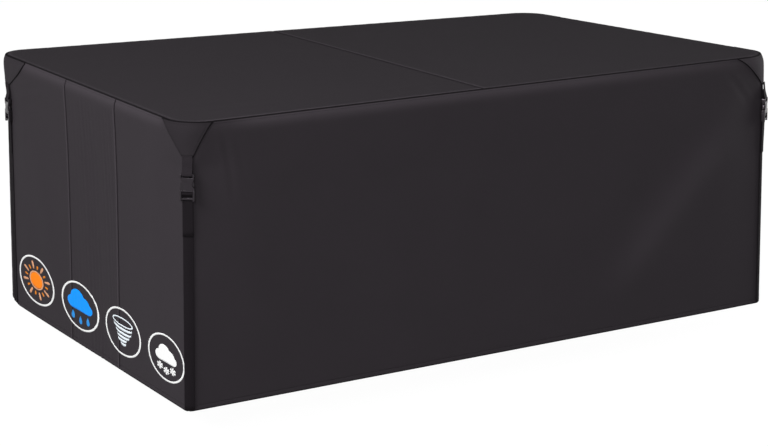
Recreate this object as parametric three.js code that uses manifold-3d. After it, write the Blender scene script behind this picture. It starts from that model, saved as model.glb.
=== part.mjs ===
// Fitted cover for a patio table and its chairs: a box-shaped shell of coated cloth, open underneath,
// with a reinforcing patch, a side-release buckle and a webbing strap down each corner.
// Millimetres, +Z up. The origin is the middle of the top's underside, where the furniture carries it.
// The long sides run along X, the front long side faces -Y and the left end faces -X.
import * as THREE from "three";
import { mergeVertices } from "three/addons/utils/BufferGeometryUtils.js";
import Module from "manifold-3d";

// ---- driving dimensions ----
const LENGTH = 1800; // top seam to top seam, along X
const WIDTH = 1142; // top seam to top seam, along Y
const HEIGHT = 700; // top seam to hem
const CLOTH = 2; // the coated cloth with its backing
const GAP = 0.3; // between neighbouring pieces
const SEAM_INSET = 0.2; // of each cloth edge from the line of the top seam
const CORNER_LIFT = 8.3; // two opposite top corners stand up by this, the other two hang down by it
const HEM_IN = { sides: 12.4, ends: 5.1 }; // how far the walls lean in, from top seam to hem
const BILLOW = { sides: 5, ends: 3 }; // how far the middle of a wall is sucked in
const HEM = { width: 14, extra: 1.6 }; // the turned-up edge, and what it adds to the cloth's thickness
const SHOULDER = { slope: 0.2, slope_end: 12, bend_end: 30 }; // the roll of the walls under the top seam
// The upright edges: round at the top seam and sharp from this depth on, with their radii there and at the
// hem, and how far along each wall the pull of a corner dies out. The shoulder's roll adds to each radius.
const EDGE = { depth: 110, radius: 18, hem_radius: 14, pull_reach: 180 };
const MIDDLE_SEAM = { x: -56.5, skew: 13.5 }; // across the top; skew is its shift at each long side
// The two seams of an end wall, as distances from its middle, at the top seam and at the hem.
const END_SEAMS = [
  { top: -93, hem: -118 },
  { top: 211, hem: 178 },
];
// The sides in order, each a quarter turn on from the last, and the corner at the far end of each.
const SIDES = ["front", "right", "back", "left"];
// Each corner's radius at the top seam, how far its edge is drawn in along the diagonal at EDGE.depth and at
// the hem, and how far its patch reaches along the side before it and the side after it, round the bend.
const CORNERS = [
  { name: "front_right", radius: 106, pull: 25, hem_pull: 3, before: 118, after: 150, strap_shift: -4 },
  { name: "back_right", radius: 80, pull: 20, hem_pull: 0, before: 140, after: 100, strap_shift: 0 },
  { name: "back_left", radius: 80, pull: 20, hem_pull: 2, before: 100, after: 188, strap_shift: 40 },
  { name: "front_left", radius: 80, pull: 20, hem_pull: 0, before: 85, after: 60, strap_shift: 2.6 },
];
// How the two slanting edges of each patch are cut: straight at 1, hollow above it and full below it.
const PATCH_CUT = {
  front_right: { before: 1.15, after: 1 },
  back_right: { before: 1, after: 1 },
  back_left: { before: 1, after: 0.62 },
  front_left: { before: 1.5, after: 1.28 },
};
// Soft ridges (height above 0) and troughs (below 0) of the hanging walls. Each runs straight between two
// places, given by the distance along the side from its middle and the depth under the top seam.
const FOLDS = [
  { side: "front", from_along: 711, from_depth: 218, to_along: 404, to_depth: 545, width: 60, height: 7 },
  { side: "front", from_along: 600, from_depth: 190, to_along: 330, to_depth: 470, width: 55, height: -3 },
  { side: "front", from_along: -640, from_depth: 120, to_along: -420, to_depth: 610, width: 90, height: -3 },
  { side: "back", from_along: -690, from_depth: 200, to_along: -430, to_depth: 560, width: 70, height: 6 },
  { side: "back", from_along: 560, from_depth: 160, to_along: 300, to_depth: 600, width: 90, height: -4 },
  { side: "left", from_along: 60, from_depth: 110, to_along: 70, to_depth: 640, width: 60, height: -3 },
  { side: "left", from_along: -330, from_depth: 200, to_along: -230, to_depth: 600, width: 60, height: 3 },
  { side: "right", from_along: 380, from_depth: 180, to_along: 260, to_depth: 600, width: 60, height: 5 },
  { side: "right", from_along: 40, from_depth: 110, to_along: 60, to_depth: 640, width: 60, height: -3 },
];
// Folds die out this near to a corner, and are at their full height from this depth on.
const CALM = { edge: 90, depth: 200 };
// The parts of a fold's run, before and past its ends, in which it rises and dies out.
const FOLD_RISE = [-0.25, 0.2];
const FOLD_FALL = [0.8, 1.25];
// A patch's cloth, and the depths of its top edge, of its outer ends and of its tip.
const PATCH = { cloth: 1.6, stand_off: 1.6, top: 1, ends: 4, tip: 84 };
const WEBBING = { width: 25, thickness: 1.5, hem_end: 697 };
// The webbing is flat above the first depth, and partly wrapped on the cloth below the last.
const WRAP = { from: 200, to: 270, most: 0.5 };
// The buckle: depths of its top, its joint, its foot and its middle under the top seam.
const BUCKLE = { top: 120, joint: 159.35, foot: 185, middle: 152.5, width: 35, thickness: 9.5 };
const BUCKLE_STAND_OFF = 1.2;
const BUCKLE_CENTRE = BUCKLE_STAND_OFF + BUCKLE.thickness / 2;

// ---- mesh density ----
const ARC_STEPS = 3; // for each half corner
const WALL_DEPTHS = [12, 21, 30, 50, 80, 110, 165, 230, 320, 420, 530, 640];
const NEAR_CORNER = [150, 110, 75, 45, 20]; // distances of the closer columns from a corner's bend
const LONG_WALL_CELLS = 18;
const END_WALL_CELLS = { outer: 4, middle: 6 };
const TOP_CELLS = { along: 7, across: 12 };
const PATCH_CELLS = { side: 7, tip: 2, down: 7 };

const CLOTH_FINISH = { color: 0x37353a, roughness: 0.82, metalness: 0 };
const PATCH_FINISH = { color: 0x343236, roughness: 0.84, metalness: 0 };
const WEBBING_FINISH = { color: 0x1b1a1d, roughness: 0.78, metalness: 0 };
const BUCKLE_FINISH = { color: 0x121214, roughness: 0.38, metalness: 0 };

const wasm = await Module();
wasm.setup();
const { clamp, lerp, smoothstep } = THREE.MathUtils;
const UP = new THREE.Vector3(0, 0, 1);

// ---- the draped form ----

// How far the wall has rolled outwards at a depth: a slope, a bend, then upright.
function rollOut(depth) {
  const bend = SHOULDER.bend_end - SHOULDER.slope_end;
  const past = clamp(depth - SHOULDER.slope_end, 0, bend);
  return SHOULDER.slope * (Math.min(depth, SHOULDER.slope_end) + past - past ** 2 / (2 * bend));
}

// The rounded rectangle that the walls make in plan at a depth, with the bend of one of its corners.
function planAt(depth, corner) {
  const row = CORNERS[corner];
  const down = depth / HEIGHT;
  const roll = rollOut(depth);
  const above = Math.min(1, depth / EDGE.depth);
  const below = Math.max(0, (depth - EDGE.depth) / (HEIGHT - EDGE.depth));
  const sharp = lerp(EDGE.radius, EDGE.hem_radius, below);
  return {
    half_x: LENGTH / 2 + roll - HEM_IN.ends * down,
    half_y: WIDTH / 2 + roll - HEM_IN.sides * down,
    radius: lerp(row.radius, sharp, above) + roll,
    pull: above * lerp(row.pull, row.hem_pull, below),
  };
}

function cornerOf(side, along) {
  return (along < 0 ? side + SIDES.length - 1 : side) % SIDES.length;
}

function halfOf(side, plan) {
  return side % 2 ? plan.half_y : plan.half_x;
}

// The height of the top's outer face: a slight twist from corner to corner.
function topHeight(x, y) {
  return CLOTH - (CORNER_LIFT * x * y) / ((LENGTH / 2) * (WIDTH / 2));
}

// What the folds and the billow add to a wall, dying out at its corners and above the tips of the patches.
function relief(side, along, depth, flat) {
  const edge = smoothstep(flat - Math.abs(along), 0, CALM.edge) * smoothstep(depth, PATCH.tip, CALM.depth);
  const suck = side % 2 ? BILLOW.ends : BILLOW.sides;
  const across = Math.cos((Math.PI / 2) * clamp(along / flat, -1, 1));
  let out = -suck * across * Math.sin((Math.PI * depth) / HEIGHT);
  for (const fold of FOLDS.filter((row) => row.side === SIDES[side])) {
    const run = new THREE.Vector2(fold.to_along - fold.from_along, fold.to_depth - fold.from_depth);
    const at = new THREE.Vector2(along - fold.from_along, depth - fold.from_depth);
    const done = at.dot(run) / run.lengthSq();
    const off = at.cross(run) / run.length();
    const ends = smoothstep(done, ...FOLD_RISE) * (1 - smoothstep(done, ...FOLD_FALL));
    out += fold.height * ends * Math.exp(-((off / fold.width) ** 2));
  }
  return out * edge;
}

// A place on the outer face of a wall.
function wallPlace(side, along, depth) {
  const plan = planAt(depth, cornerOf(side, along));
  const r = plan.radius;
  const flat = halfOf(side, plan) - r;
  const turn = (Math.sign(along) * Math.max(0, Math.abs(along) - flat)) / r;
  const fromCorner = Math.abs(Math.abs(along) - flat - (r * Math.PI) / 4);
  const drawn = plan.pull * Math.SQRT1_2 * (1 - smoothstep(fromCorner, 0, EDGE.pull_reach));
  const place = new THREE.Vector3(
    clamp(along, -flat, flat) + r * Math.sin(turn) - Math.sign(along) * drawn,
    r - halfOf(side + 1, plan) - r * Math.cos(turn) + drawn - relief(side, along, depth, flat),
    0,
  );
  place.applyAxisAngle(UP, (side * Math.PI) / 2);
  place.z = CLOTH - depth + (topHeight(place.x, place.y) - CLOTH) * (1 - depth / HEIGHT);
  return place;
}

// A place on a wall, raised by lift along the way it faces, and that way.
function wallAt(side, along, depth, lift = 0) {
  const step = 0.5;
  const right = wallPlace(side, along + step, depth).sub(wallPlace(side, along - step, depth));
  const down = wallPlace(side, along, depth + step).sub(wallPlace(side, along, Math.max(0, depth - step)));
  const facing = down.cross(right).normalize();
  return { place: wallPlace(side, along, depth).addScaledVector(facing, lift), facing };
}

// A place by a corner: across is the distance round the bend from the corner's middle line.
function cornerAt(corner, across, depth, lift) {
  const plan = planAt(depth, corner);
  const side = across <= 0 ? corner : (corner + 1) % SIDES.length;
  const middle = halfOf(side, plan) - plan.radius + (plan.radius * Math.PI) / 4;
  return wallAt(side, across <= 0 ? middle + across : across - middle, depth, lift);
}

// The way from the outer face to the inner one where two faces of the cloth meet at an edge.
function mitre(facing) {
  return facing.clone().add(UP).divideScalar(1 + facing.dot(UP));
}

// ---- solids ----

// A closed sheet: outer and inner are its two faces as places in rows from its foot up, each row running
// to the right as seen from outside.
function sheetGeometry(outer, inner) {
  const rows = outer.length;
  const columns = outer[0].length;
  const points = [...outer.flat(), ...inner.flat()];
  const at = (face, row, column) => (face * rows + row) * columns + column;
  const index = [];
  const quad = (a, b, c, d) => index.push(a, b, c, a, c, d);
  for (let j = 0; j + 1 < rows; j++)
    for (let i = 0; i + 1 < columns; i++) {
      quad(at(0, j, i), at(0, j, i + 1), at(0, j + 1, i + 1), at(0, j + 1, i));
      quad(at(1, j, i), at(1, j + 1, i), at(1, j + 1, i + 1), at(1, j, i + 1));
    }
  for (let i = 0; i + 1 < columns; i++) {
    quad(at(1, 0, i), at(1, 0, i + 1), at(0, 0, i + 1), at(0, 0, i));
    quad(at(0, rows - 1, i), at(0, rows - 1, i + 1), at(1, rows - 1, i + 1), at(1, rows - 1, i));
  }
  for (let j = 0; j + 1 < rows; j++) {
    quad(at(1, j, 0), at(0, j, 0), at(0, j + 1, 0), at(1, j + 1, 0));
    quad(at(0, j, columns - 1), at(1, j, columns - 1), at(1, j + 1, columns - 1), at(0, j + 1, columns - 1));
  }
  return new THREE.BufferGeometry().setFromPoints(points).setIndex(index);
}

function solidOf(geometry) {
  geometry.deleteAttribute("normal");
  geometry.deleteAttribute("uv");
  const merged = mergeVertices(geometry, 1e-4);
  return new wasm.Manifold(
    new wasm.Mesh({
      numProp: 3,
      vertProperties: merged.attributes.position.array,
      triVerts: new Uint32Array(merged.index.array),
    }),
  );
}

function geometryOf(solid) {
  const mesh = solid.getMesh();
  return new THREE.BufferGeometry()
    .setAttribute("position", new THREE.BufferAttribute(new Float32Array(mesh.vertProperties), 3))
    .setIndex(new THREE.BufferAttribute(new Uint32Array(mesh.triVerts), 1));
}

// A block between two opposite corners.
function block(low, high) {
  const size = high.map((value, axis) => value - low[axis]);
  const box = new THREE.BoxGeometry(...size);
  return solidOf(box.translate(...low.map((value, axis) => value + size[axis] / 2)));
}

// A plate of an outline given for its right half and mirrored, or as a whole, between two heights.
function plate(outline, low, high) {
  const shape = new THREE.Shape(outline.map(([x, y]) => new THREE.Vector2(x, y)));
  const raised = new THREE.ExtrudeGeometry(shape, { depth: high - low, bevelEnabled: false });
  return solidOf(raised.translate(0, 0, low));
}

function mirrored(rightHalf) {
  return [...rightHalf, ...rightHalf.map(([x, y]) => [-x, y]).reverse()];
}

const cover = new THREE.Group();

function add(name, geometry, finish, parent = cover) {
  const mesh = new THREE.Mesh(geometry, new THREE.MeshStandardMaterial(finish));
  mesh.name = name;
  parent.add(mesh);
}

// ---- the top: two panels that meet at the middle seam ----

function topPanel(end) {
  const half_x = LENGTH / 2 - SEAM_INSET;
  const half_y = WIDTH / 2 - SEAM_INSET;
  const steps = 2 * ARC_STEPS;
  const names = end > 0 ? ["front_right", "back_right"] : ["front_left", "back_left"];
  const [front, back] = names.map((name) => CORNERS.find((row) => row.name === name).radius - SEAM_INSET);
  const { facing } = wallAt(0, 0, 0);
  const level = Math.hypot(facing.x, facing.y);
  const outer = [];
  const inner = [];
  for (let j = 0; j <= TOP_CELLS.across; j++) {
    const v = j / TOP_CELLS.across;
    outer.push([]);
    inner.push([]);
    for (let i = 0; i <= steps + TOP_CELLS.along; i++) {
      const turn = (Math.PI / 2) * Math.max(0, 1 - i / steps);
      const seamX = (r) => end * (half_x - r + r * Math.sin(turn));
      const seamY = (r) => half_y - r + r * Math.cos(turn);
      const y = lerp(-seamY(front), seamY(back), v);
      const middle = MIDDLE_SEAM.x + (MIDDLE_SEAM.skew * y) / half_y + (end * GAP) / 2;
      const x = lerp(lerp(seamX(front), seamX(back), v), middle, Math.max(0, i - steps) / TOP_CELLS.along);
      const wall = new THREE.Vector3(end * Math.sin(turn) * level, 0, facing.z);
      if (v === 0 || v === 1) wall.y = (v === 0 ? -1 : 1) * Math.cos(turn) * level;
      const way = i === 0 || v === 0 || v === 1 ? mitre(wall) : UP;
      const place = new THREE.Vector3(x, y, topHeight(x, y));
      outer[j].push(place);
      inner[j].push(place.clone().addScaledVector(way, -CLOTH));
    }
    if (end > 0) {
      outer[j].reverse();
      inner[j].reverse();
    }
  }
  return sheetGeometry(outer, inner);
}

add("top_left", topPanel(-1), CLOTH_FINISH);
add("top_right", topPanel(1), CLOTH_FINISH);

// ---- the walls: one panel on each long side, three on each end ----

// The places of a panel's columns at a depth. start and end are seams, or null where it runs round to the
// middle line of a corner.
function panelColumns(side, start, end, cells, depth) {
  // Distances from the side's middle, from the last even column out to the corner's middle line.
  const round = (corner) => {
    const plan = planAt(depth, corner);
    const flat = halfOf(side, plan) - plan.radius;
    const bend = (plan.radius * Math.PI) / 4;
    const steps = Array.from({ length: ARC_STEPS }, (_, i) => flat + (bend * (i + 1)) / ARC_STEPS);
    steps.push(steps.pop() - GAP / 2);
    return [...NEAR_CORNER.map((inset) => flat - inset), flat, ...steps];
  };
  const seamAt = (seam, shift) => lerp(seam.top, seam.hem, depth / HEIGHT) + shift;
  const before = start ? [-seamAt(start, GAP / 2)] : round(cornerOf(side, -1));
  const after = end ? [seamAt(end, -GAP / 2)] : round(cornerOf(side, 1));
  const even = Array.from({ length: cells - 1 }, (_, i) => lerp(-before[0], after[0], (i + 1) / cells));
  return [...before.map((reach) => -reach).reverse(), ...even, ...after];
}

function wallPanel(side, start, end, cells) {
  const hemLine = HEIGHT - HEM.width;
  const depths = [SEAM_INSET, ...WALL_DEPTHS, hemLine - 1, hemLine, HEIGHT].reverse();
  const outer = [];
  const inner = [];
  for (const depth of depths) {
    const thickness = CLOTH + (depth >= hemLine ? HEM.extra : 0);
    const row = panelColumns(side, start, end, cells, depth).map((along) => wallAt(side, along, depth));
    outer.push(row.map(({ place }) => place));
    inner.push(
      row.map(({ place, facing }) => {
        const way = depth === SEAM_INSET ? mitre(facing) : facing;
        return place.clone().addScaledVector(way, -thickness);
      }),
    );
  }
  return sheetGeometry(outer, inner);
}

SIDES.forEach((name, side) => {
  if (side % 2 === 0) {
    add("wall_" + name, wallPanel(side, null, null, LONG_WALL_CELLS), CLOTH_FINISH);
    return;
  }
  const [first, second] = END_SEAMS;
  add("wall_" + name + "_a", wallPanel(side, null, first, END_WALL_CELLS.outer), CLOTH_FINISH);
  add("wall_" + name + "_b", wallPanel(side, first, second, END_WALL_CELLS.middle), CLOTH_FINISH);
  add("wall_" + name + "_c", wallPanel(side, second, null, END_WALL_CELLS.outer), CLOTH_FINISH);
});

// ---- the corners: patch, webbing loop, buckle and strap ----

// A triangle of cloth, wide at the top seam and as narrow as the webbing at its tip.
function patchGeometry(corner, { name, before, after, strap_shift }) {
  const cut = PATCH_CUT[name];
  const half = WEBBING.width / 2;
  const [tipFrom, tipTo] = [strap_shift - half, strap_shift + half];
  const spread = (from, to, cells) => Array.from({ length: cells }, (_, i) => lerp(from, to, i / cells));
  const columns = [
    ...spread(-before, tipFrom, PATCH_CELLS.side),
    ...spread(tipFrom, tipTo, PATCH_CELLS.tip),
    ...spread(tipTo, after, PATCH_CELLS.side),
    after,
  ];
  const reach = (across) => {
    if (across >= tipFrom && across <= tipTo) return PATCH.tip;
    const [done, bow] =
      across < tipFrom
        ? [(across + before) / (tipFrom + before), cut.before]
        : [(after - across) / (after - tipTo), cut.after];
    return lerp(PATCH.ends, PATCH.tip, Math.max(0, done) ** bow);
  };
  const grid = (lift) => {
    const rows = [];
    for (let j = PATCH_CELLS.down; j >= 0; j--)
      rows.push(
        columns.map((across) => {
          const depth = lerp(PATCH.top, reach(across), j / PATCH_CELLS.down);
          return cornerAt(corner, across, depth, lift).place;
        }),
      );
    return rows;
  };
  return sheetGeometry(grid(PATCH.stand_off + PATCH.cloth), grid(PATCH.stand_off));
}

// Webbing along a path of depths and lifts: flat where it hangs free, wrapped on the cloth lower down.
function webbingGeometry(corner, shift, path) {
  const cells = 4;
  const faces = [1, -1].map((face) =>
    path.map(([depth, lift], k) => {
      const [before, after] = [path[Math.max(0, k - 1)], path[Math.min(path.length - 1, k + 1)]];
      const out = new THREE.Vector2(after[1] - before[1], before[0] - after[0]).normalize();
      out.multiplyScalar((face * WEBBING.thickness) / 2);
      const at = [depth + out.x, lift + out.y];
      const wrap = WRAP.most * smoothstep(at[0], WRAP.from, WRAP.to);
      const { place, facing } = cornerAt(corner, shift, ...at);
      const along = UP.clone().cross(facing).normalize();
      const row = [];
      for (let i = 0; i <= cells; i++) {
        const across = WEBBING.width * (i / cells - 0.5);
        const flat = place.clone().addScaledVector(along, across);
        row.push(flat.lerp(cornerAt(corner, shift + across, ...at).place, wrap));
      }
      return row;
    }),
  );
  return sheetGeometry(...faces);
}

// Depths and lifts of the loop that holds the socket: its hidden end, round the bar, up to the patch.
const LOOP_PATH = [
  [97, 1.8],
  [106, 2.3],
  [118, 2.9],
  [122.5, 2.7],
  [125.6, 3.4],
  [126.6, BUCKLE_CENTRE],
  [125.6, 8.5],
  [122.5, 9.2],
  [118, 8.6],
  [108, 5.9],
  [98, 4.8],
  [78, 4.4],
];
// Depths and lifts of the strap: the hem, up behind the plug, round its cross bar, down as the loose tail.
const STRAP_PATH = [
  [WEBBING.hem_end, 1.35],
  [640, 1.35],
  [530, 1.35],
  [420, 1.35],
  [320, 1.35],
  [272, 1.35],
  [230, 1.35],
  [208, 1.4],
  [192, 1.8],
  [180, 2.2],
  [167, 2.2],
  [163.9, 3.5],
  [163.3, BUCKLE_CENTRE],
  [164.3, 8.4],
  [167, 9.6],
  [170.2, 8.6],
  [171.9, 6.5],
  [175, 4.4],
  [180, 4.05],
  [192, 3.6],
  [208, 3.3],
  [230, 3.25],
  [271, 3.25],
];

// The buckle's own frame: X across, Y up the corner, Z away from the wall, at the middle of its thickness.
const HALF = { body: BUCKLE.width / 2, thick: BUCKLE.thickness / 2 };
const JOINT_Y = BUCKLE.middle - BUCKLE.joint;
const TOP_Y = BUCKLE.middle - BUCKLE.top;
const FOOT_Y = BUCKLE.middle - BUCKLE.foot;
const SLOT_HALF = WEBBING.width / 2 + 0.8;
const PRONG = { thick: 2.3, room: 0.4, pin_half: 2.2, pin_top: 17 };
const WINDOW = { low: 0.8, high: 15.2 };
const BAR_HALF = 1.6;

function socketSolid() {
  const outline = mirrored([
    [13.2, TOP_Y],
    [15.6, TOP_Y - 1.2],
    [16.6, TOP_Y - 4],
    [16.6, 21],
    [15.4, 17.5],
    [12.6, 13],
    [12, 8],
    [13, 3],
    [16, WINDOW.low],
    [HALF.body, -1.5],
    [HALF.body, JOINT_Y + GAP / 2],
  ]);
  const hollow = PRONG.thick + PRONG.room;
  const barTop = TOP_Y - 1.5;
  const barFoot = TOP_Y - 4.5;
  const slotFoot = TOP_Y - 9.5;
  let solid = plate(outline, -HALF.thick, HALF.thick);
  const cuts = [
    block([-11.6, JOINT_Y - 1, -hollow], [11.6, 20, hollow]),
    block([-HALF.body - 1, WINDOW.low, -hollow], [HALF.body + 1, WINDOW.high, hollow]),
    block([-SLOT_HALF, slotFoot, -HALF.thick - 1], [SLOT_HALF, barFoot, HALF.thick + 1]),
    block([-SLOT_HALF, barFoot - 1, BAR_HALF], [SLOT_HALF, TOP_Y + 1, HALF.thick + 1]),
    block([-SLOT_HALF, barFoot - 1, -HALF.thick - 1], [SLOT_HALF, TOP_Y + 1, -BAR_HALF]),
    block([-SLOT_HALF, barTop, -HALF.thick - 1], [SLOT_HALF, TOP_Y + 1, HALF.thick + 1]),
  ];
  for (const cut of cuts) solid = solid.subtract(cut);
  return solid;
}

function plugSolid() {
  const top = JOINT_Y - GAP / 2;
  const body = mirrored([
    [HALF.body, top],
    [HALF.body, FOOT_Y + 3],
    [HALF.body - 1, FOOT_Y + 1],
    [HALF.body - 3, FOOT_Y],
  ]);
  const arm = [
    [6.8, top - 1],
    [10.9, top - 1],
    [10.9, 1.6],
    [16.8, 2.6],
    [17, 6],
    [14.6, 13.4],
    [11.2, 14.4],
    [8.2, 12],
    [6.8, 4],
  ];
  // The cross bar that the strap turns round, and the front bar that presses on the strap.
  const crossBar = { top: -13.1, foot: -16.1, low: -1.35, high: 1.85 };
  const frontBar = { top: -24.4, foot: -29, low: -0.65, high: 3.4 };
  const well = { top: top - 2.5, foot: FOOT_Y - 1 };
  let solid = plate(body, -HALF.thick, HALF.thick);
  solid = solid.subtract(
    block([-SLOT_HALF, well.foot, -HALF.thick - 1], [SLOT_HALF, well.top, HALF.thick + 1]),
  );
  for (const bar of [crossBar, frontBar])
    solid = solid.add(
      block([-SLOT_HALF - 1, bar.foot, bar.low], [SLOT_HALF + 1, bar.top, bar.high]),
    );
  for (const side of [1, -1]) {
    const outline = arm.map(([x, y]) => [side * x, y]);
    solid = solid.add(plate(side > 0 ? outline : outline.reverse(), -PRONG.thick, PRONG.thick));
  }
  return solid.add(
    block([-PRONG.pin_half, top - 1, -PRONG.thick], [PRONG.pin_half, PRONG.pin_top, PRONG.thick]),
  );
}

// A group that stands at the buckle's place on a corner.
function buckleGroup(corner, shift) {
  const at = (depth) => cornerAt(corner, shift, depth, BUCKLE_CENTRE);
  const up = at(BUCKLE.top).place.sub(at(BUCKLE.foot).place).normalize();
  const across = up.clone().cross(at(BUCKLE.middle).facing).normalize();
  const group = new THREE.Group();
  group.position.copy(at(BUCKLE.middle).place);
  group.setRotationFromMatrix(new THREE.Matrix4().makeBasis(across, up, across.clone().cross(up)));
  cover.add(group);
  return group;
}

const socketGeometry = geometryOf(socketSolid());
const plugGeometry = geometryOf(plugSolid());
CORNERS.forEach((row, corner) => {
  add("patch_" + row.name, patchGeometry(corner, row), PATCH_FINISH);
  add("loop_" + row.name, webbingGeometry(corner, row.strap_shift, LOOP_PATH), WEBBING_FINISH);
  add("strap_" + row.name, webbingGeometry(corner, row.strap_shift, STRAP_PATH), WEBBING_FINISH);
  const buckle = buckleGroup(corner, row.strap_shift);
  add("socket_" + row.name, socketGeometry, BUCKLE_FINISH, buckle);
  add("plug_" + row.name, plugGeometry, BUCKLE_FINISH, buckle);
});

export default cover;
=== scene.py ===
import math

import bmesh
import bpy
import numpy as np
from mathutils import Matrix, Vector


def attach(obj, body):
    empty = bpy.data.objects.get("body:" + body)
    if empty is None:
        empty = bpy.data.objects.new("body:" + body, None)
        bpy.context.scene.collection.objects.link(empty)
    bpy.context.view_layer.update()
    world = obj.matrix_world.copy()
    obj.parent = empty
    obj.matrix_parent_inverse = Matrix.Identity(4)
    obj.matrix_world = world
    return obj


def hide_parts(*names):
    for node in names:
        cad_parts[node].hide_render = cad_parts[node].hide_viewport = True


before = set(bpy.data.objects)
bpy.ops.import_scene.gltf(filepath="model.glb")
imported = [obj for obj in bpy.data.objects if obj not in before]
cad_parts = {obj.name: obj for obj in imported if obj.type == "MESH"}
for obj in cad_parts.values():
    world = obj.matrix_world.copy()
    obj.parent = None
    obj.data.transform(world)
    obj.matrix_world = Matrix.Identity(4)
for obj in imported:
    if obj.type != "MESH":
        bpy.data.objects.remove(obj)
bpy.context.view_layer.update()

# ---- Side walls ----
# The hanging sides are cut from coated polyester: one panel on each long side, three on each end. They are
# sewn to the top along its edge and to each other down the corners, and their lower edge is turned in and
# stitched as a hem. The cloth hangs almost flat, drawn in a little down each corner. Lengths are in mm.
LENGTH, WIDTH, HEIGHT, CLOTH, OVERLAP = 1800, 1142, 700, 2, 0.1
# Edges start this far from the seam line, and the corners' bends tighten to a small radius by a depth.
INSET, BEND_DEPTH, BEND_RADIUS = 0.2, 110, 18
# How far the hem hangs inside the top's edge, at the ends and at the long sides.
HEM_IN_X, HEM_IN_Y = 5.1, 12.4
SIDES = ["front", "right", "back", "left"]
CORNERS = {
    "front_right": {"radius": 106, "pull": 25, "hem_pull": 3, "before": 118, "after": 150, "shift": -4},
    "back_right": {"radius": 80, "pull": 20, "hem_pull": 0, "before": 140, "after": 100, "shift": 0},
    "back_left": {"radius": 80, "pull": 20, "hem_pull": 2, "before": 100, "after": 188, "shift": 40},
    "front_left": {"radius": 80, "pull": 20, "hem_pull": 0, "before": 85, "after": 60, "shift": 2.6},
}
END_SEAMS = {"first": (-93, -118), "second": (211, 178)}
HEM, HEM_STITCHED, STITCHED, SHOULDER, HEM_CURVE = 14, 12.5, 7, 2.8, 14
# Broad soft ridges (height above 0) and troughs: side, where one starts and ends as distances along the side
# and down from the top seam, its width and its height.
FOLDS = [
    ("front", (711, 218), (404, 545), 60, 7),
    ("front", (600, 190), (330, 470), 55, -3),
    ("front", (-640, 120), (-420, 610), 90, -3),
    ("back", (-690, 200), (-430, 560), 70, 6),
    ("back", (560, 160), (300, 600), 90, -4),
    ("left", (60, 110), (70, 640), 60, -3),
    ("left", (-330, 200), (-230, 600), 60, 3),
    ("right", (380, 180), (260, 600), 60, 5),
    ("right", (40, 110), (60, 640), 60, -3),
]
# Fine creases, in the same way.
CREASES = [
    ("front", (-812, 40), (-790, 175), 5, 0.9),
    ("front", (-800, 34), (-772, 190), 6, -1.0),
    ("front", (-778, 50), (-756, 170), 6, 0.9),
    ("front", (-762, 60), (-735, 150), 7, -0.8),
    ("front", (752, 45), (842, 118), 6, 1.2),
    ("front", (735, 48), (830, 128), 7, -1.0),
    ("front", (722, 60), (812, 140), 7, 0.9),
    ("left", (-470, 60), (-300, 38), 6, 1.2),
    ("left", (-440, 84), (-260, 50), 7, -1.1),
    ("left", (-455, 106), (-250, 70), 7, 1.1),
    ("left", (-430, 130), (-230, 92), 8, -0.9),
    ("left", (430, 70), (470, 180), 7, 0.4),
    ("back", (-700, 50), (-640, 150), 7, 0.6),
    ("back", (700, 50), (630, 160), 7, 0.6),
    ("right", (-430, 60), (-360, 170), 7, 0.5),
    ("right", (420, 60), (330, 140), 7, -0.5),
]


def smooth(x, low, high):
    t = np.clip((x - low) / (high - low), 0, 1)
    return t * t * (3 - 2 * t)


def roll_out(depth):
    """How far the walls stand out below the top seam, where the cloth rolls over the edge."""
    past = np.clip(depth - 12, 0, 18)
    return 0.2 * (np.minimum(depth, 12) + past - past**2 / 36)


def top_height(x, y):
    """The height of the top, which is a little twisted from corner to corner."""
    return CLOTH - 8.3 * x * y / (LENGTH / 2 * WIDTH / 2)


def plan_at(depth, side, along):
    """The half length and half width, the bend's radius and the pull of the nearest corner, at a depth."""
    rows = list(CORNERS.values())
    before, after = rows[(side + 3) % 4], rows[side]
    pick = {k: np.where(along < 0, before[k], after[k]) for k in ("radius", "pull", "hem_pull")}
    roll = roll_out(depth)
    above = np.minimum(1, depth / BEND_DEPTH)
    below = np.maximum(0, (depth - BEND_DEPTH) / (HEIGHT - BEND_DEPTH))
    radius = pick["radius"] + (BEND_RADIUS - 4 * below - pick["radius"]) * above + roll
    pull = above * (pick["pull"] + (pick["hem_pull"] - pick["pull"]) * below)
    half_x = LENGTH / 2 + roll - HEM_IN_X * depth / HEIGHT
    half_y = WIDTH / 2 + roll - HEM_IN_Y * depth / HEIGHT
    return (half_y, half_x, radius, pull) if side % 2 else (half_x, half_y, radius, pull)


def run(along, depth, start, end, width):
    """How strongly a fold that runs from start to end is felt at a place."""
    run_x, run_y = end[0] - start[0], end[1] - start[1]
    length = math.hypot(run_x, run_y)
    x, y = along - start[0], depth - start[1]
    done = (x * run_x + y * run_y) / length**2
    off = (x * run_y - y * run_x) / length
    return smooth(done, -0.25, 0.2) * (1 - smooth(done, 0.8, 1.25)) * np.exp(-((off / width) ** 2))


def relief(side, along, depth, flat):
    """The form of a wall between its corners: billowed inwards, with its broad folds."""
    edge = smooth(flat - np.abs(along), 0, 90) * smooth(depth, 84, 200)
    suck = 3 if side % 2 else 5
    out = -suck * np.cos(np.pi / 2 * np.clip(along / flat, -1, 1)) * np.sin(np.pi * depth / HEIGHT)
    for name, start, end, width, height in FOLDS:
        if name == SIDES[side]:
            out = out + height * run(along, depth, start, end, width)
    return out * edge


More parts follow.
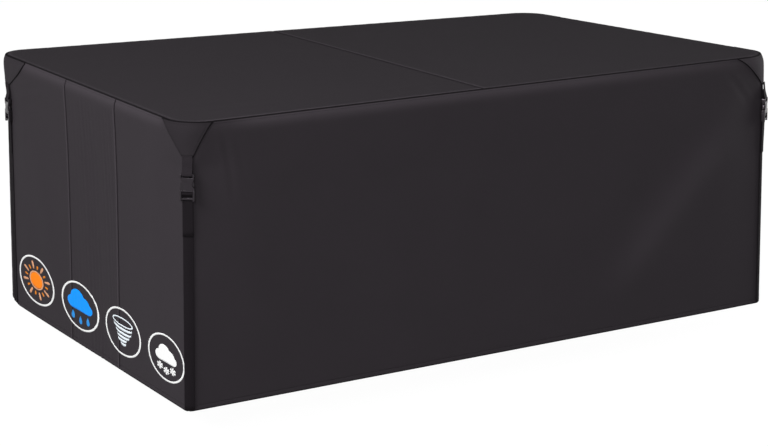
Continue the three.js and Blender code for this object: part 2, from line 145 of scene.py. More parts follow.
def wall_place(side, along, depth):
    """A place on the form of a wall, by the distances along it from its middle and down from the top."""
    if side > 1:
        # The hem is cut in a curve at the back left corner.
        half, _, r, _ = plan_at(depth, side, along)
        from_corner = np.abs(along * (1 if side == 2 else -1) - half + r - r * np.pi / 4)
        depth = depth - HEM_CURVE * (1 - smooth(from_corner, 0, 62)) * smooth(depth, 600, HEIGHT)
    half, reach, r, pull = plan_at(depth, side, along)
    flat = half - r
    turn = np.sign(along) * np.maximum(0, np.abs(along) - flat) / r
    from_corner = np.abs(np.abs(along) - flat - r * np.pi / 4)
    drawn = pull * math.sqrt(0.5) * (1 - smooth(from_corner, 0, 180))
    x = np.clip(along, -flat, flat) + r * np.sin(turn) - np.sign(along) * drawn
    y = r - reach - r * np.cos(turn) + drawn - relief(side, along, depth, flat)
    c, s = [(1, 0), (0, 1), (-1, 0), (0, -1)][side]
    x, y = c * x - s * y, s * x + c * y
    z = CLOTH - depth + (top_height(x, y) - CLOTH) * (1 - depth / HEIGHT)
    return np.stack([x, y, z], axis=-1)


def wall_at(side, along, depth, lift=0.0):
    """Places on a wall, raised by lift along the way they face, and that way."""
    along, depth = np.broadcast_arrays(np.asarray(along, float), np.asarray(depth, float))
    right = wall_place(side, along + 0.5, depth) - wall_place(side, along - 0.5, depth)
    down = wall_place(side, along, depth + 0.5) - wall_place(side, along, np.maximum(0, depth - 0.5))
    facing = np.cross(down, right)
    facing /= np.linalg.norm(facing, axis=-1, keepdims=True)
    return wall_place(side, along, depth) + facing * np.asarray(lift)[..., None], facing


def mesh_of(name, points, faces, cut, away, material):
    """A mesh from places in mm, with the cut's own flat places in metres as its UV map. Its attribute
    Away is how far each point lies from the cut's edge, in mm."""
    mesh = bpy.data.meshes.new(name)
    mesh.from_pydata((np.asarray(points) * 0.001).tolist(), [], faces)
    layer = mesh.uv_layers.new(name="Cut")
    index = np.zeros(len(mesh.loops), int)
    mesh.loops.foreach_get("vertex_index", index)
    layer.data.foreach_set("uv", (np.asarray(cut)[index] * 0.001).astype(np.float32).ravel())
    mesh.polygons.foreach_set("use_smooth", [True] * len(mesh.polygons))
    mesh.attributes.new("Away", "FLOAT", "POINT").data.foreach_set("value", np.asarray(away, np.float32))
    mesh.materials.append(material)
    obj = bpy.data.objects.new(name, mesh)
    bpy.context.scene.collection.objects.link(obj)
    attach(obj, "root")
    return obj


def paint_highlight(obj, highlight_share):
    """Paints a highlight: how pale the cloth is made at each point, from 0 to 1, kept as a point attribute.
    """
    obj.data.attributes.new("Painted highlight", "FLOAT", "POINT").data.foreach_set("value", np.asarray(highlight_share, np.float32))


def sheet_of(name, outer, inner, cut, away, material):
    """A closed sheet between two faces, each given as rows of places from its foot up."""
    rows, columns = outer.shape[:2]
    at = np.arange(2 * rows * columns).reshape(2, rows, columns)
    o, i = at
    quads = [
        np.stack([o[:-1, :-1], o[:-1, 1:], o[1:, 1:], o[1:, :-1]], -1).reshape(-1, 4),
        np.stack([i[:-1, :-1], i[1:, :-1], i[1:, 1:], i[:-1, 1:]], -1).reshape(-1, 4),
        np.stack([i[0, :-1], i[0, 1:], o[0, 1:], o[0, :-1]], -1),
        np.stack([o[-1, :-1], o[-1, 1:], i[-1, 1:], i[-1, :-1]], -1),
        np.stack([i[:-1, 0], o[:-1, 0], o[1:, 0], i[1:, 0]], -1),
        np.stack([o[:-1, -1], i[:-1, -1], i[1:, -1], o[1:, -1]], -1),
    ]
    points = np.concatenate([outer.reshape(-1, 3), inner.reshape(-1, 3)])
    flat = np.concatenate([cut.reshape(-1, 2)] * 2)
    edge = np.concatenate([np.broadcast_to(away, outer.shape[:2]).ravel()] * 2)
    return mesh_of(name, points, np.concatenate(quads).tolist(), flat, edge, material)


# The plain weave shows only close to. The group gives the height of its threads, and a slight mottle for the
# colour and the gloss.
THREADS = 1100
weave = bpy.data.node_groups.new("Plain weave", "ShaderNodeTree")
weave.interface.new_socket("Cut", in_out="INPUT", socket_type="NodeSocketVector")
weave.interface.new_socket("Threads per metre", in_out="INPUT", socket_type="NodeSocketFloat")
weave.interface.new_socket("Height", in_out="OUTPUT", socket_type="NodeSocketFloat")
weave.interface.new_socket("Mottle", in_out="OUTPUT", socket_type="NodeSocketFloat")


def plug(tree, made, inputs):
    """Gives a node its inputs: values or other nodes' sockets."""
    for key, value in inputs.items():
        if isinstance(value, bpy.types.NodeSocket):
            tree.links.new(value, made.inputs[key])
        else:
            made.inputs[key].default_value = value


def node(tree, kind, inputs=None, **settings):
    """A new node with its settings and its inputs."""
    made = tree.nodes.new(kind)
    for key, value in settings.items():
        setattr(made, key, value)
    plug(tree, made, inputs or {})
    return made


def math_node(tree, operation, a, b=0.0):
    return node(tree, "ShaderNodeMath", {0: a, 1: b}, operation=operation).outputs[0]


def noise(tree, place, scale, detail):
    inputs = {"Vector": place, "Scale": scale, "Detail": detail}
    return node(tree, "ShaderNodeTexNoise", inputs).outputs["Fac"]


given = node(weave, "NodeGroupInput").outputs
split = node(weave, "ShaderNodeSeparateXYZ", {0: given["Cut"]})
turns = math_node(weave, "MULTIPLY", given["Threads per metre"], math.pi)
warp = math_node(weave, "SINE", math_node(weave, "MULTIPLY", split.outputs["X"], turns))
weft = math_node(weave, "SINE", math_node(weave, "MULTIPLY", split.outputs["Y"], turns))
crossing = math_node(weave, "MULTIPLY", warp, weft)
large = math_node(weave, "MULTIPLY", noise(weave, given["Cut"], 7.0, 3.0), 0.6)
small = math_node(weave, "MULTIPLY", noise(weave, given["Cut"], 130.0, 2.0), 0.4)
mottle = math_node(weave, "ADD", large, small)
node(weave, "NodeGroupOutput", {"Height": crossing, "Mottle": mottle})


def new_material(name):
    material = bpy.data.materials.new(name)
    material.use_nodes = True
    return material, material.node_tree, material.node_tree.nodes["Principled BSDF"]


def woven(tree):
    """The plain weave, laid along the cut."""
    cut = node(tree, "ShaderNodeUVMap", uv_map="Cut").outputs["UV"]
    return node(tree, "ShaderNodeGroup", {"Cut": cut, "Threads per metre": THREADS}, node_tree=weave).outputs


def attribute(tree, name):
    return node(tree, "ShaderNodeAttribute", attribute_name=name).outputs["Fac"]


def mix(tree, share, *colours):
    """A colour between two, by a share. Each is a colour or a socket."""
    first, second = (c if isinstance(c, bpy.types.NodeSocket) else (*c, 1) for c in colours)
    inputs = {"Factor": share, "A": first, "B": second}
    return node(tree, "ShaderNodeMix", inputs, data_type="RGBA").outputs["Result"]


def spread(tree, value, inputs, **settings):
    """A value from 0 to 1, or from another range that is given, spread over a new range."""
    return node(tree, "ShaderNodeMapRange", {"Value": value, **inputs}, **settings).outputs["Result"]


def bump(tree, height, strength, distance):
    inputs = {"Height": height, "Strength": strength, "Distance": distance}
    return node(tree, "ShaderNodeBump", inputs).outputs["Normal"]


# Painted shade by seams and folded edges: how dark it is and the distances from the edge where it ends; and
# how pale a painted highlight makes the cloth.
SEAM_SHADE_PAINTED, SEAM_SHADE_REACH, HIGHLIGHT_PALE = 0.15, (1.4, 3.9), 2.2
# The distance from an edge that is given to a piece without a folded edge.
NO_FOLD = 9
POLYESTER_TINT = (1.0, 0.85, 1.0, 1)


def cloth_material(name, dark, light, roughness):
    """Coated cloth: two close shades of its colour and a fine weave. It has painted shade near its seams and
    folded edges, by the attribute Away, and a painted highlight where a point attribute gives one: below the
    top seam, beside seams, along a fold's crest and on the patches."""
    material, tree, shader = new_material(name)
    threads = woven(tree)
    shade = mix(tree, threads["Mottle"], dark, light)
    # Painted highlight: the colour is paler where the point attribute of painted highlight is high.
    highlighted = mix(tree, attribute(tree, "Painted highlight"), shade, [HIGHLIGHT_PALE * c for c in light])
    edge = {"From Min": SEAM_SHADE_REACH[0], "From Max": SEAM_SHADE_REACH[1]}
    # Painted shade: the colour darkens within a few mm of a seam or a folded edge.
    unshaded = spread(tree, attribute(tree, "Away"), edge, interpolation_type="SMOOTHSTEP")
    gloss = {"To Min": roughness - 0.05, "To Max": roughness + 0.05}
    looks = {
        "Base Color": mix(tree, unshaded, [SEAM_SHADE_PAINTED * c for c in dark], highlighted),
        "Roughness": spread(tree, threads["Mottle"], gloss),
        "Normal": bump(tree, threads["Height"], 0.35, 0.0002),
        "Specular IOR Level": 0.06,
        "Specular Tint": POLYESTER_TINT,
    }
    plug(tree, shader, looks)
    return material


cover_cloth = cloth_material("Coated polyester", (0.0138, 0.0119, 0.0138), (0.0172, 0.0149, 0.0172), 0.78)

EDGE_STEPS = np.array([0, 0.4, 1, 1.8, 3, 4.5, 6, 7, 8, 10, 13, 17, 22, 29])
HEM_STEPS = np.array([0, 0.5, 1.2, 2.2, 4, 7, 10, 12, 13, 14, 15, 16.5, 19, 23, 30])


def stations(low, high, low_steps, high_steps, spacing):
    """Distances from low to high, close together at both ends and even between them."""
    inner = [low + low_steps[-1], high - high_steps[-1]]
    count = max(1, round(float(np.max(inner[1] - inner[0])) / spacing))
    even = [inner[0] + (inner[1] - inner[0]) * k / count for k in range(1, count)]
    return [*(low + s for s in low_steps), *even, *(high - s for s in high_steps[::-1])]


def seam_profile(away):
    """How a seamed edge lies, by the distance from it: turned down at the seam, full over the seam
    allowance, and drawn in along the row of stitches 7 mm in."""
    return (
        -1.9 * np.exp(-((away / 2.2) ** 2))
        + 0.6 * np.exp(-(((away - 4.6) / 2.2) ** 2))
        - 0.3 * np.exp(-(((away - STITCHED) / 1.1) ** 2))
    )


def half_thickness(away, thin=0.12, full=0.6, reach=1.2):
    """Half the thickness of cloth or webbing, which is rounded off towards its edge."""
    return thin + full * np.sqrt(1 - (1 - np.clip(away / reach, 0, 1)) ** 2)


def pucker(along, away, reach=26):
    """The small gathers that the stitches leave beside a seam."""
    waves = np.sin(along / 7.1) + 0.7 * np.sin(along / 11.3 + 1.3) + 0.5 * np.sin(along / 4.7 + 0.4)
    return 0.14 * waves * np.exp(-away / reach) * smooth(away, 0, 6)


def unevenness(u, v):
    """The slight unevenness of a large panel that hangs free."""
    return (
        0.5 * np.sin(u / 97 + 0.6 * np.sin(v / 140)) * np.sin(v / 120 + 1.1)
        + 0.28 * np.sin(u / 41 + v / 160 + 2.0)
        + 0.2 * np.sin(v / 33 + u / 210 + 0.7)
    )


def panel_edge(side, seam, sign, depth):
    """Where a panel ends at a depth: at a seam of the end, or round a corner at its middle line. Neighbours
    overlap a little, so that no light comes through their seam."""
    if seam:
        top, hem = END_SEAMS[seam]
        return top + (hem - top) * depth / HEIGHT + sign * OVERLAP
    half, _, r, _ = plan_at(depth, side, np.full_like(depth, float(sign)))
    return sign * (half - r + r * np.pi / 4 + OVERLAP)


def panel_lift(side, along, depth, low, high, between_seams):
    """How far the cloth's middle stands from the wall's form, as it hangs and as its seams shape it."""
    sides = np.minimum(along - low, high - along)
    below_top, above_hem = depth - INSET, HEIGHT - depth
    calm = smooth(sides, 0, 60) * smooth(below_top, 0, 60) * smooth(above_hem, 10, 60)
    hang = -CLOTH / 2 + 0.6 * unevenness(along + 531 * side, depth) * calm
    for wall, start, end, width, height in CREASES:
        if wall == SIDES[side]:
            hang = hang + height * run(along, depth, start, end, width) * smooth(sides, 0, 20)
    if between_seams:
        ripples = np.sin(along / 3.3 + 0.4 * np.sin(depth / 130)) + 0.6 * np.sin(along / 5.1 + 1.0)
        ripples = ripples * (0.6 + 0.4 * np.sin(along / 23 + 0.8 * np.sin(depth / 170)))
        hang = hang + 0.5 * ripples * smooth(sides, 4, 30) * smooth(below_top, 20, 70)
    sewn = seam_profile(sides) + seam_profile(below_top)
    # The seam allowance inside fills the cloth out below the top seam, and the hem is fuller than the wall.
    full = SHOULDER * np.sin(np.pi / 2 * np.clip(below_top / 18, 0, 1))
    sewn = sewn + full * (1 - smooth(below_top, 20, 110))
    sewn = sewn - 0.5 * np.exp(-(((above_hem - HEM_STITCHED) / 1.3) ** 2))
    sewn = sewn + 0.4 * np.exp(-(((above_hem - 6) / 5) ** 2))
    sewn = sewn + pucker(along, below_top) + pucker(depth, sides, 14)
    return hang, sewn + 0.8 * pucker(along, above_hem - 10, 20), sides


# The painted highlight below the top seam: how strong it is, and how far from a corner it is in full.
HIGHLIGHT_ENDS, HIGHLIGHT_LONG_SIDES = (0.44, 110), (0.46, 200)


def wall_panel(name, side, start, end):
    depths = np.array(stations(INSET, HEIGHT, EDGE_STEPS, HEM_STEPS, 8))[::-1]
    low, high = panel_edge(side, start, -1, depths), panel_edge(side, end, 1, depths)
    along = np.stack(stations(low, high, EDGE_STEPS, EDGE_STEPS, 4 if start and end else 8), axis=1)
    depth = np.repeat(depths[:, None], along.shape[1], axis=1)
    hang, sewn, sides = panel_lift(side, along, depth, low[:, None], high[:, None], start and end)
    middle, above_hem = hang + sewn, HEIGHT - depth
    away = np.minimum(np.minimum(sides, depth - INSET), above_hem)
    half = half_thickness(away)
    turned_in = 1.3 * (1 - smooth(above_hem, HEM - 1, HEM + 0.5)) * smooth(above_hem, 0, 1.2)
    outer, _ = wall_at(side, along, depth, middle + half)
    inner, _ = wall_at(side, along, depth, middle - half - turned_in)
    cut = np.stack([along, -depth], axis=-1)
    obj = sheet_of(name + "_cloth", outer, inner, cut, away, cover_cloth)
    # A painted highlight lies on the cloth below the top seam, over the seam allowance beside a lapped end
    # seam, and along the crest of the broad fold at the right of the front.
    strength, fade = HIGHLIGHT_ENDS if side % 2 else HIGHLIGHT_LONG_SIDES
    corners = [panel_edge(side, None, sign, depths)[:, None] for sign in (-1, 1)]
    inside = smooth(np.minimum(along - corners[0], corners[1] - along), 60, fade)
    highlight_share = strength * (1 - smooth(depth, 3, 36)) * inside * (1 - 0.6 * smooth(along, 200, 800))
    if side % 2:
        lap = 0.4 if end else 0.0
        beside = smooth(high[:, None] - along, 2, 4) * (1 - smooth(high[:, None] - along, 9, 13))
        highlight_share = np.maximum(highlight_share, lap * beside * smooth(depth, 8, 30))
    if name == "wall_front":
        highlight_share = np.maximum(highlight_share, 0.2 * run(along, depth, FOLDS[0][1], FOLDS[0][2], 45))
    paint_highlight(obj, np.concatenate([highlight_share.ravel()] * 2))
    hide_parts(name)


PANELS = {
    "wall_front": (0, None, None),
    "wall_back": (2, None, None),
    "wall_left_a": (3, None, "first"),
    "wall_left_b": (3, "first", "second"),
    "wall_left_c": (3, "second", None),
    "wall_right_a": (1, None, "first"),
    "wall_right_b": (1, "first", "second"),
    "wall_right_c": (1, "second", None),
}
for name, (side, start, end) in PANELS.items():
    wall_panel(name, side, start, end)

# ---- Weather badges ----
# Four badges are printed along the foot of the left end: a white ring round a sun, a rain cloud, a whirlwind
# and a snow cloud. They stand for the weather that the cover keeps out, and lie as ink on the cloth.
BADGE_DEPTH, RING = 595, 0.076
BADGES = {
    "sun": {"along": -358, "half_width": 129, "half_height": 66},
    "rain": {"along": -64, "half_width": 118, "half_height": 63.5},
    "wind": {"along": 203, "half_width": 108, "half_height": 61},
    "snow": {"along": 451, "half_width": 99.5, "half_height": 58.5},
}
LEFT = 3


def ink(name, colour):
    """Screen-printed ink: an even colour, a little broken up by the weave under it."""
    material, tree, shader = new_material(name)
    threads = woven(tree)
    looks = {
        "Base Color": mix(tree, threads["Mottle"], [0.82 * c for c in colour], colour),
        "Normal": bump(tree, threads["Height"], 0.2, 0.0002),
        "Roughness": 0.6,
        "Specular IOR Level": 0.05,
    }
    plug(tree, shader, looks)
    return material


INKS = {
    "white": ink("White ink", (0.5, 0.5, 0.5)),
    "orange": ink("Orange ink", (0.4, 0.12, 0.004)),
    "amber": ink("Amber ink", (0.58, 0.135, 0.0002)),
    "peach": ink("Peach ink", (0.4, 0.2, 0.11)),
    "blue": ink("Blue ink", (0.0002, 0.17, 0.58)),
    "deep blue": ink("Deep blue ink", (0.014, 0.15, 0.4)),
    "pale blue": ink("Pale blue ink", (0.46, 0.5, 0.53)),
}


def band(inner, outer, across):
    """A printed shape between two lines with as many points each, as a grid of places."""
    share = np.linspace(0, 1, across + 1)[:, None, None]
    return inner[None] + (outer[None] - inner[None]) * share


def ellipse(radius_u, radius_v, start=0.0, end=360.0, steps=72, centre=(0.0, 0.0)):
    turn = np.radians(np.linspace(start, end, steps + 1))
    return np.stack([centre[0] + radius_u * np.cos(turn), centre[1] + radius_v * np.sin(turn)], axis=1)


def disc(radius, centre=(0.0, 0.0), steps=24, across=8):
    upper = ellipse(radius, radius, 176, 4, steps, centre)
    return band(upper * (1, -1) + (0, 2 * centre[1]), upper, across)


def ray(turn, start, end, width):
    """A ray that narrows a little towards the middle of the sun."""
    way = np.array([math.cos(turn), math.sin(turn)])
    side = np.array([-way[1], way[0]])
    reach = np.linspace(start, end, 6)[:, None]
    half = np.array([0.5, 0.75, 0.85, 0.95, 1.0, 0.6])[:, None] * width / 2
    return band(way * reach - side * half, way * reach + side * half, 2)


def cloud(puffs, foot, steps=48):
    """A cloud: puffs, each with its place, its height above the foot and its radius, over a flat foot."""
    low, high = puffs[0][0] - puffs[0][2] + 0.002, puffs[-1][0] + puffs[-1][2] - 0.002
    u = (low + high) / 2 - (high - low) / 2 * np.cos(np.linspace(0, np.pi, steps + 1))
    rises = [np.sqrt(np.maximum(r**2 - (u - cu) ** 2, 0)) for cu, _, r in puffs]
    top = np.max([np.where(rise > 0, foot + up + rise, -9) for rise, (_, up, _) in zip(rises, puffs)], axis=0)
    # The first and last puffs rest on the foot and round its ends off.
    base = np.where(u < puffs[0][0], foot + puffs[0][2] - rises[0], foot)
    base = np.where(u > puffs[-1][0], foot + puffs[-1][2] - rises[-1], base)
    return band(np.stack([u, base], axis=1), np.stack([u, top], axis=1), 10)


def drop(u, v, size):
    """A rain drop: round below and drawn out to a point above."""
    turn = np.radians(np.linspace(-86, 88, 15))
    half = 0.5 * size * np.cos(turn) * (1 - 0.55 * np.sin(turn)) * 0.9
    height = v + size * np.sin(turn)
    return band(np.stack([u - half, height], axis=1), np.stack([u + half, height], axis=1), 4)


def swirl(v, radius_u, radius_v, start, end, width, centre_u):
    """A stroke of the whirlwind: part of an ellipse, thickest at its middle."""
    line = ellipse(radius_u, radius_v, start, end, 30, (centre_u, v))
    swell = width * (0.25 + 0.75 * np.sin(np.linspace(0.08, np.pi - 0.08, len(line))))[:, None]
    return band(line - (0, 0.5) * swell, line + (0, 0.5) * swell, 2)


def flake(u, v, size):
    """A snow flake of three crossed bars, wider at their ends."""
    made = []
    for turn in np.radians([90, 30, -30]):
        way = np.array([math.cos(turn), math.sin(turn)])
        half = np.array([0.05, 0.045, 0.03, 0.025, 0.03, 0.045, 0.05])[:, None]
        side = np.array([-way[1], way[0]]) * half
        line = np.array([u, v]) + np.linspace(-size, size, 7)[:, None] * way
        made.append(band(line - side, line + side, 2))
    return made


def shapes_of(badge):
    """The inks of a badge with their shapes, in parts of its half width and half height."""
    ring = [band(ellipse(1 - RING, 1 - RING, steps=120), ellipse(1, 1, steps=120), 2)]
    if badge == "sun":
        long_rays = [ray(math.radians(15 + 45 * k), 0.47, 0.78, 0.11) for k in range(8)]
        short_rays = [ray(math.radians(37.5 + 45 * k), 0.47, 0.64, 0.09) for k in range(8)]
        rim = [band(ellipse(0.325, 0.325), ellipse(0.385, 0.385), 1)]
        return {"white": ring, "peach": long_rays + rim, "orange": short_rays, "amber": [disc(0.32)]}
    if badge == "rain":
        puffs = [(-0.42, 0.25, 0.25), (-0.12, 0.5, 0.36), (0.22, 0.34, 0.3), (0.44, 0.22, 0.22)]
        drops = [drop(u, v, 0.17) for u, v in ((-0.38, -0.48), (0.02, -0.58), (0.42, -0.48))]
        return {"white": ring, "blue": [cloud(puffs, -0.2)], "deep blue": drops}
    if badge == "wind":
        turns = [band(ellipse(0.5, 0.13, centre=(0, 0.42)), ellipse(0.57, 0.19, centre=(0, 0.42)), 1)]
        rows = [(0.24, 0.5, 0.02), (0.05, 0.42, 0.05), (-0.13, 0.33, 0.03)]
        rows += [(-0.3, 0.23, -0.02), (-0.46, 0.14, 0.03)]
        turns += [swirl(v, r, 0.16 * r + 0.05, 165, 375, 0.11, u) for v, r, u in rows]
        return {"white": ring, "pale blue": turns}
    puffs = [(-0.36, 0.22, 0.22), (-0.1, 0.42, 0.31), (0.2, 0.3, 0.26), (0.38, 0.19, 0.19)]
    flakes = [bar for u, v in ((-0.35, -0.45), (0.0, -0.56), (0.35, -0.45)) for bar in flake(u, v, 0.16)]
    return {"white": ring + [cloud(puffs, -0.2)] + flakes}


def ink_lift(along, depth):
    """The height of the left end's cloth, so that ink lies on it: its hang, and the ridges by its seams."""
    first, second = (panel_edge(LEFT, seam, 1, depth) for seam in ("first", "second"))
    ends = [panel_edge(LEFT, None, sign, depth) for sign in (-1, 1)]
    low = np.where(along < first, ends[0], np.where(along < second, first, second))
    high = np.where(along < first, first, np.where(along < second, second, ends[1]))
    outer, _, sides = panel_lift(LEFT, along, depth, low, high, False)
    middle, _, _ = panel_lift(LEFT, along, depth, low, high, True)
    hang = np.where((along > first) & (along < second), middle, outer)
    return hang + half_thickness(sides) + 0.12 + 0.6 * (1 - smooth(np.abs(sides - 4), 2, 8))


def film_faces(grid, start):
    """The faces of a thin film: its upper side, its underside and its edge."""
    rows, columns = grid.shape[:2]
    under = rows * columns
    at = np.arange(start, start + under).reshape(rows, columns)
    upper = np.stack((at[:-1, :-1], at[:-1, 1:], at[1:, 1:], at[1:, :-1]), -1).reshape(-1, 4).tolist()
    loop = [*at[0], *at[1:, -1], *at[-1, -2::-1], *at[-2:0:-1, 0]]
    faces = upper + [[i + under for i in face[::-1]] for face in upper]
    faces += [[a, a + under, b + under, b] for a, b in zip(loop, loop[1:] + loop[:1])]
    down, across = grid[1, 0] - grid[0, 0], grid[0, 1] - grid[0, 0]
    turned_over = down[0] * across[1] > down[1] * across[0]
    return [face[::-1] for face in faces] if turned_over else faces


FILM = 0.1


def print_badge(badge):
    """One object for each ink: its shapes laid over the cloth as thin films."""
    size = BADGES[badge]
    for colour, grids in shapes_of(badge).items():
        points, faces, cuts = [], [], []
        for grid in grids:
            along = size["along"] + grid[..., 0] * size["half_width"]
            depth = BADGE_DEPTH - grid[..., 1] * size["half_height"]
            lift = ink_lift(along, depth)
            faces += film_faces(grid, sum(len(p) for p in points))
            for thick in (FILM, 0.0):
                points.append(wall_at(LEFT, along, depth, lift + thick)[0].reshape(-1, 3))
                cuts.append(np.stack([along, -depth], axis=-1).reshape(-1, 2))
        name = "print_" + badge + "_" + colour.replace(" ", "_")
        cut = np.concatenate(cuts)
        away = np.full(len(cut), NO_FOLD)
        obj = mesh_of(name, np.concatenate(points), faces, cut, away, INKS[colour])
        merged = bmesh.new()
        merged.from_mesh(obj.data)
        bmesh.ops.remove_doubles(merged, verts=merged.verts, dist=1e-6)
        merged.to_mesh(obj.data)
        merged.free()


for badge in BADGES:
    print_badge(badge)

# ---- Top ----
# The top is two panels of the same cloth, sewn together across its middle with a flat seam, and lies tight
# over the furniture. Its edge is sewn to the walls all round, in a round bend at each corner.
MIDDLE_SEAM = {"x": -56.5, "skew": 13.5}
TOP_CREASES = [
    ((-860, -440), (-560, -470), 8, 0.4),
    ((-840, -400), (-520, -420), 9, -0.4),
    ((-400, -480), (-120, -430), 9, 0.4),
    ((-140, -300), (-110, 380), 10, 0.4),
    ((10, -420), (-10, 300), 9, -0.35),
    ((480, -300), (640, 160), 14, 0.5),
    ((620, -460), (840, -380), 9, 0.4),
    ((-620, 240), (-260, 470), 12, 0.4),
]


def corner_signs(corner):
    return 1 if "right" in corner else -1, 1 if "back" in corner else -1


def edge_distance(x, y):
    """How far inside the top's seam line a place is, with each corner's own bend."""
    inside = np.full_like(x, 1e9)
    for corner, row in CORNERS.items():
        sx, sy = corner_signs(corner)
        r = row["radius"]
        qx, qy = sx * x - (LENGTH / 2 - r), sy * y - (WIDTH / 2 - r)
        here = r - np.hypot(np.maximum(qx, 0), np.maximum(qy, 0)) - np.minimum(np.maximum(qx, qy), 0)
        inside = np.where((sx * x >= 0) & (sy * y >= 0), here, inside)
    return inside


def top_middle(x, y, away):
    """The height of the top cloth's middle, as its seams and creases shape it."""
    middle = top_height(x, y) - CLOTH / 2 + seam_profile(away)
    middle += pucker(x + y, away, 24) + 0.45 * unevenness(x + 77, y - 310) * smooth(away, 0, 70)
    for start, finish, width, height in TOP_CREASES:
        middle += height * run(x, y, start, finish, width) * smooth(away, 0, 20)
    return middle


def top_panel(name, end):
    half_x, half_y = LENGTH / 2 - INSET, WIDTH / 2 - INSET
    front = CORNERS["front_right" if end > 0 else "front_left"]["radius"]
    back = CORNERS["back_right" if end > 0 else "back_left"]["radius"]
    widest = max(front, back)
    bend = widest * (1 - np.cos(np.linspace(0, np.pi / 2, 22)[1:]))
    steps = np.unique(np.concatenate([EDGE_STEPS[:10], bend[bend > 12]]))
    reach = np.array(stations(0, half_x + 60, steps, EDGE_STEPS, 9))

    def seam_y(r):
        past = np.clip(r - reach, 0, r)
        return half_y - r + np.sqrt(np.maximum(r**2 - past**2, 0))

    y = np.stack(stations(-seam_y(front), seam_y(back), EDGE_STEPS, EDGE_STEPS, 9), axis=0)
    middle_x = MIDDLE_SEAM["x"] + MIDDLE_SEAM["skew"] * y / half_y - end * OVERLAP
    # The columns keep their distance from the end where the corners bend, and then spread out evenly.
    bend_x = end * (half_x - widest)
    share = (reach - widest) / (reach[-1] - widest)
    x = np.where(reach > widest, bend_x + (middle_x - bend_x) * share, end * (half_x - reach))
    away = np.maximum(np.minimum(edge_distance(x, y) - INSET, end * (x - middle_x)), 0)
    if end > 0:
        x, y, away = x[:, ::-1], y[:, ::-1], away[:, ::-1]
    middle, half = top_middle(x, y, away), half_thickness(away)
    outer = np.stack([x, y, middle + half], axis=-1)
    inner = np.stack([x, y, middle - half], axis=-1)
    cut = np.stack([x, y], axis=-1)
    obj = sheet_of(name + "_cloth", outer, inner, cut, away, cover_cloth)
    # A painted highlight lies over the seam allowance, most of all along the front, and on the right of the
    # middle seam.
    share = np.where(edge_distance(x, y) < 16, 0.45 + 0.55 * (y < 20 - WIDTH / 2), 0.8 if end > 0 else 0.0)
    drawn = share * smooth(away, 3.5, 5.5) * (1 - smooth(away, 9, 15))
    paint_highlight(obj, np.concatenate([drawn.ravel()] * 2))
    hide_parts(name)


top_panel("top_left", -1)
top_panel("top_right", 1)

# ---- Corner patches ----
# A triangle of the same cloth, doubled, is sewn over each top corner with its point down. It spreads the
# pull of the strap, and the strap's loop is sewn to its point.
# Its colour is darker than the walls' cloth, though it is the same cloth: painted shade.
shaded_patch_cloth = cloth_material("Doubled polyester with painted shade", (0.0090, 0.0078, 0.0090), (0.0116, 0.0101, 0.0116), 0.8)


def corner_at(corner, across, depth, lift):
    """Places by a corner: across is the distance round the bend from its middle line."""
    across, depth, lift = np.broadcast_arrays(*(np.asarray(a, float) for a in (across, depth, lift)))
    index = list(CORNERS).index(corner)
    places, facings = np.zeros((*across.shape, 3)), np.zeros((*across.shape, 3))
    for side, sign in ((index, 1), ((index + 1) % 4, -1)):
        half, _, r, _ = plan_at(depth, side, np.full(across.shape, float(sign)))
        middle = half - r + r * np.pi / 4
        here = across <= 0 if sign > 0 else across > 0
        place, facing = wall_at(side, sign * middle + across, depth, lift)
        places[here], facings[here] = place[here], facing[here]
    return places, facings


TIP, SHALLOW, HALF_WEBBING = 84, 4, 12.5
# How the two slanting edges of each patch are cut: straight at 1, hollow above it and full below it.
PATCH_CUT = {
    "front_right": (1.15, 1),
    "back_right": (1, 1),
    "back_left": (1, 0.62),
    "front_left": (1.5, 1.28),
}
# A painted light on each patch, even over all of it, which makes it paler as light falling on its side would.
PATCH_PAINTED_LIGHT = {"front_right": 0.75, "back_right": 0.4, "back_left": 0.3, "front_left": 0.0}


def tip_sides(row):
    """The two sides of a patch's tip, which is as wide as the webbing."""
    return row["shift"] - HALF_WEBBING, row["shift"] + HALF_WEBBING


def patch_foot(corner, across):
    """How far down a patch reaches, by the distance across the corner."""
    row = CORNERS[corner]
    left, right = tip_sides(row)
    down = np.where(
        across < left,
        (across + row["before"]) / (left + row["before"]),
        (row["after"] - across) / (row["after"] - right),
    )
    bow = np.where(across < left, *PATCH_CUT[corner])
    return SHALLOW + (TIP - SHALLOW) * np.clip(down, 0, 1) ** bow


def patch_lift(corner, wide, depth):
    """How far the patch's middle stands from the wall's form, and the distance from its cut edge. It lies
    over the shoulder of the walls, thickest in its turned edge, which is sewn down 6 mm in."""
    row = CORNERS[corner]
    left, right = tip_sides(row)
    slope = (TIP - SHALLOW) / np.where(wide < left, left + row["before"], row["after"] - right)
    away = np.minimum((patch_foot(corner, wide) - depth) / np.sqrt(1 + slope**2), depth - INSET)
    away = np.minimum(away, np.minimum(wide + row["before"], row["after"] - wide) + 0.3)
    bulge = SHOULDER * np.sin(np.pi / 2 * np.clip((depth - INSET) / 18, 0, 1))
    bulge = bulge * (1 - smooth(depth, 20, 110))
    bulge = bulge + 1.3 + 0.7 * smooth(away, 0, 1.5) - 0.25 * smooth(away, 7, 11)
    bulge = bulge + 0.25 * np.sin(wide / 9.0 + depth / 23) * smooth(away, 8, 20)
    return bulge - 0.5 * np.exp(-(((away - 6) / 1.2) ** 2)), away


